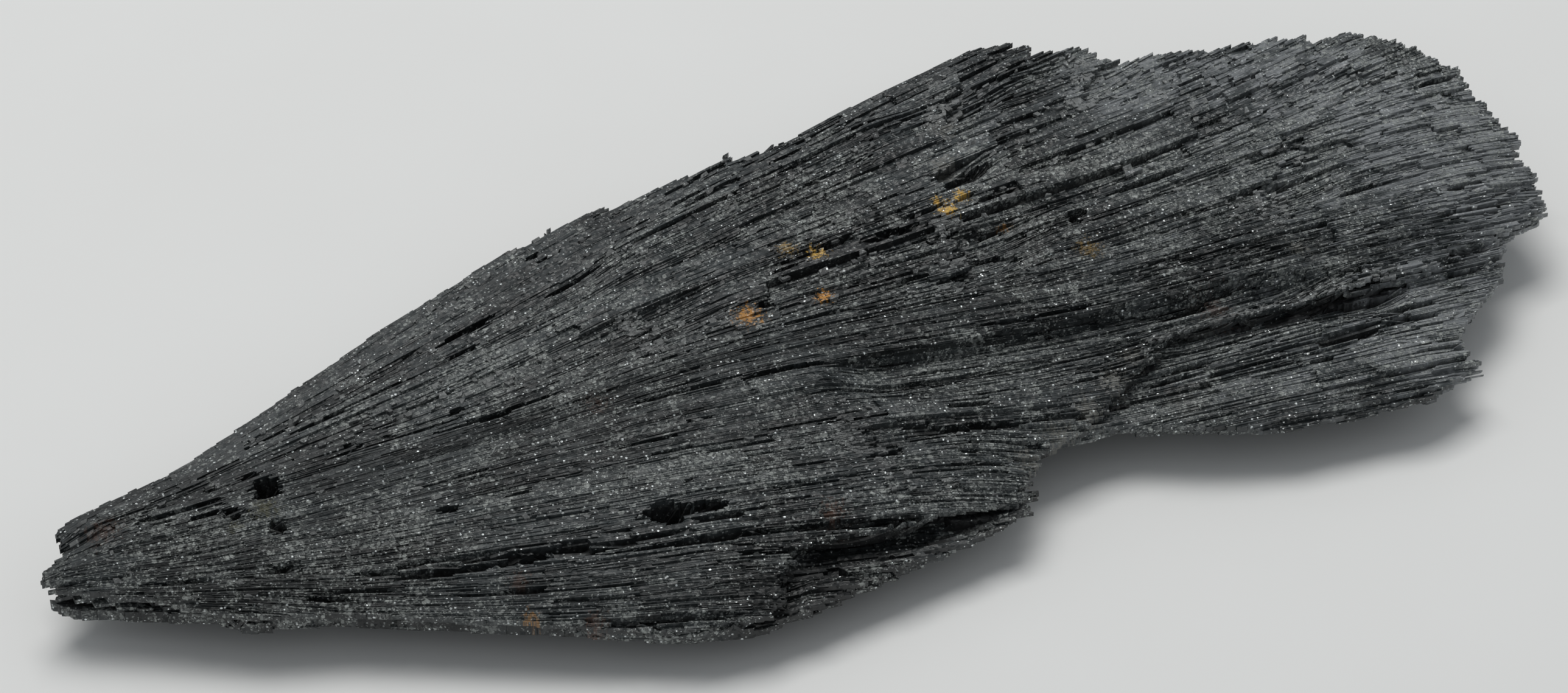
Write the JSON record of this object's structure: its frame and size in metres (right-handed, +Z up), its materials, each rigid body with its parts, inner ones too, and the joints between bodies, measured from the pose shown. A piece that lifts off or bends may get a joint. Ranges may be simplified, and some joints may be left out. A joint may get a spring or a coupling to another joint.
{
  "type": "black kyanite fan",
  "caption": "Natural fan of long flat dark blades grown together, spreading from a narrow root to a wide broken edge, lying on its convex underside.",
  "frame": {"origin": "middle of the box round the fan, on the surface it lies on", "axes": "+X from the narrow root to the wide edge, +Y across the fan, +Z up through its thickness"},
  "size_m": [0.1232, 0.054, 0.0101],
  "materials": {
    "kyanite": "dark, pearly to half-metallic lustre along the blades"
  },
  "bodies": {
    "root": {"kyanite_fan": "kyanite"}
  },
  "joints": []
}
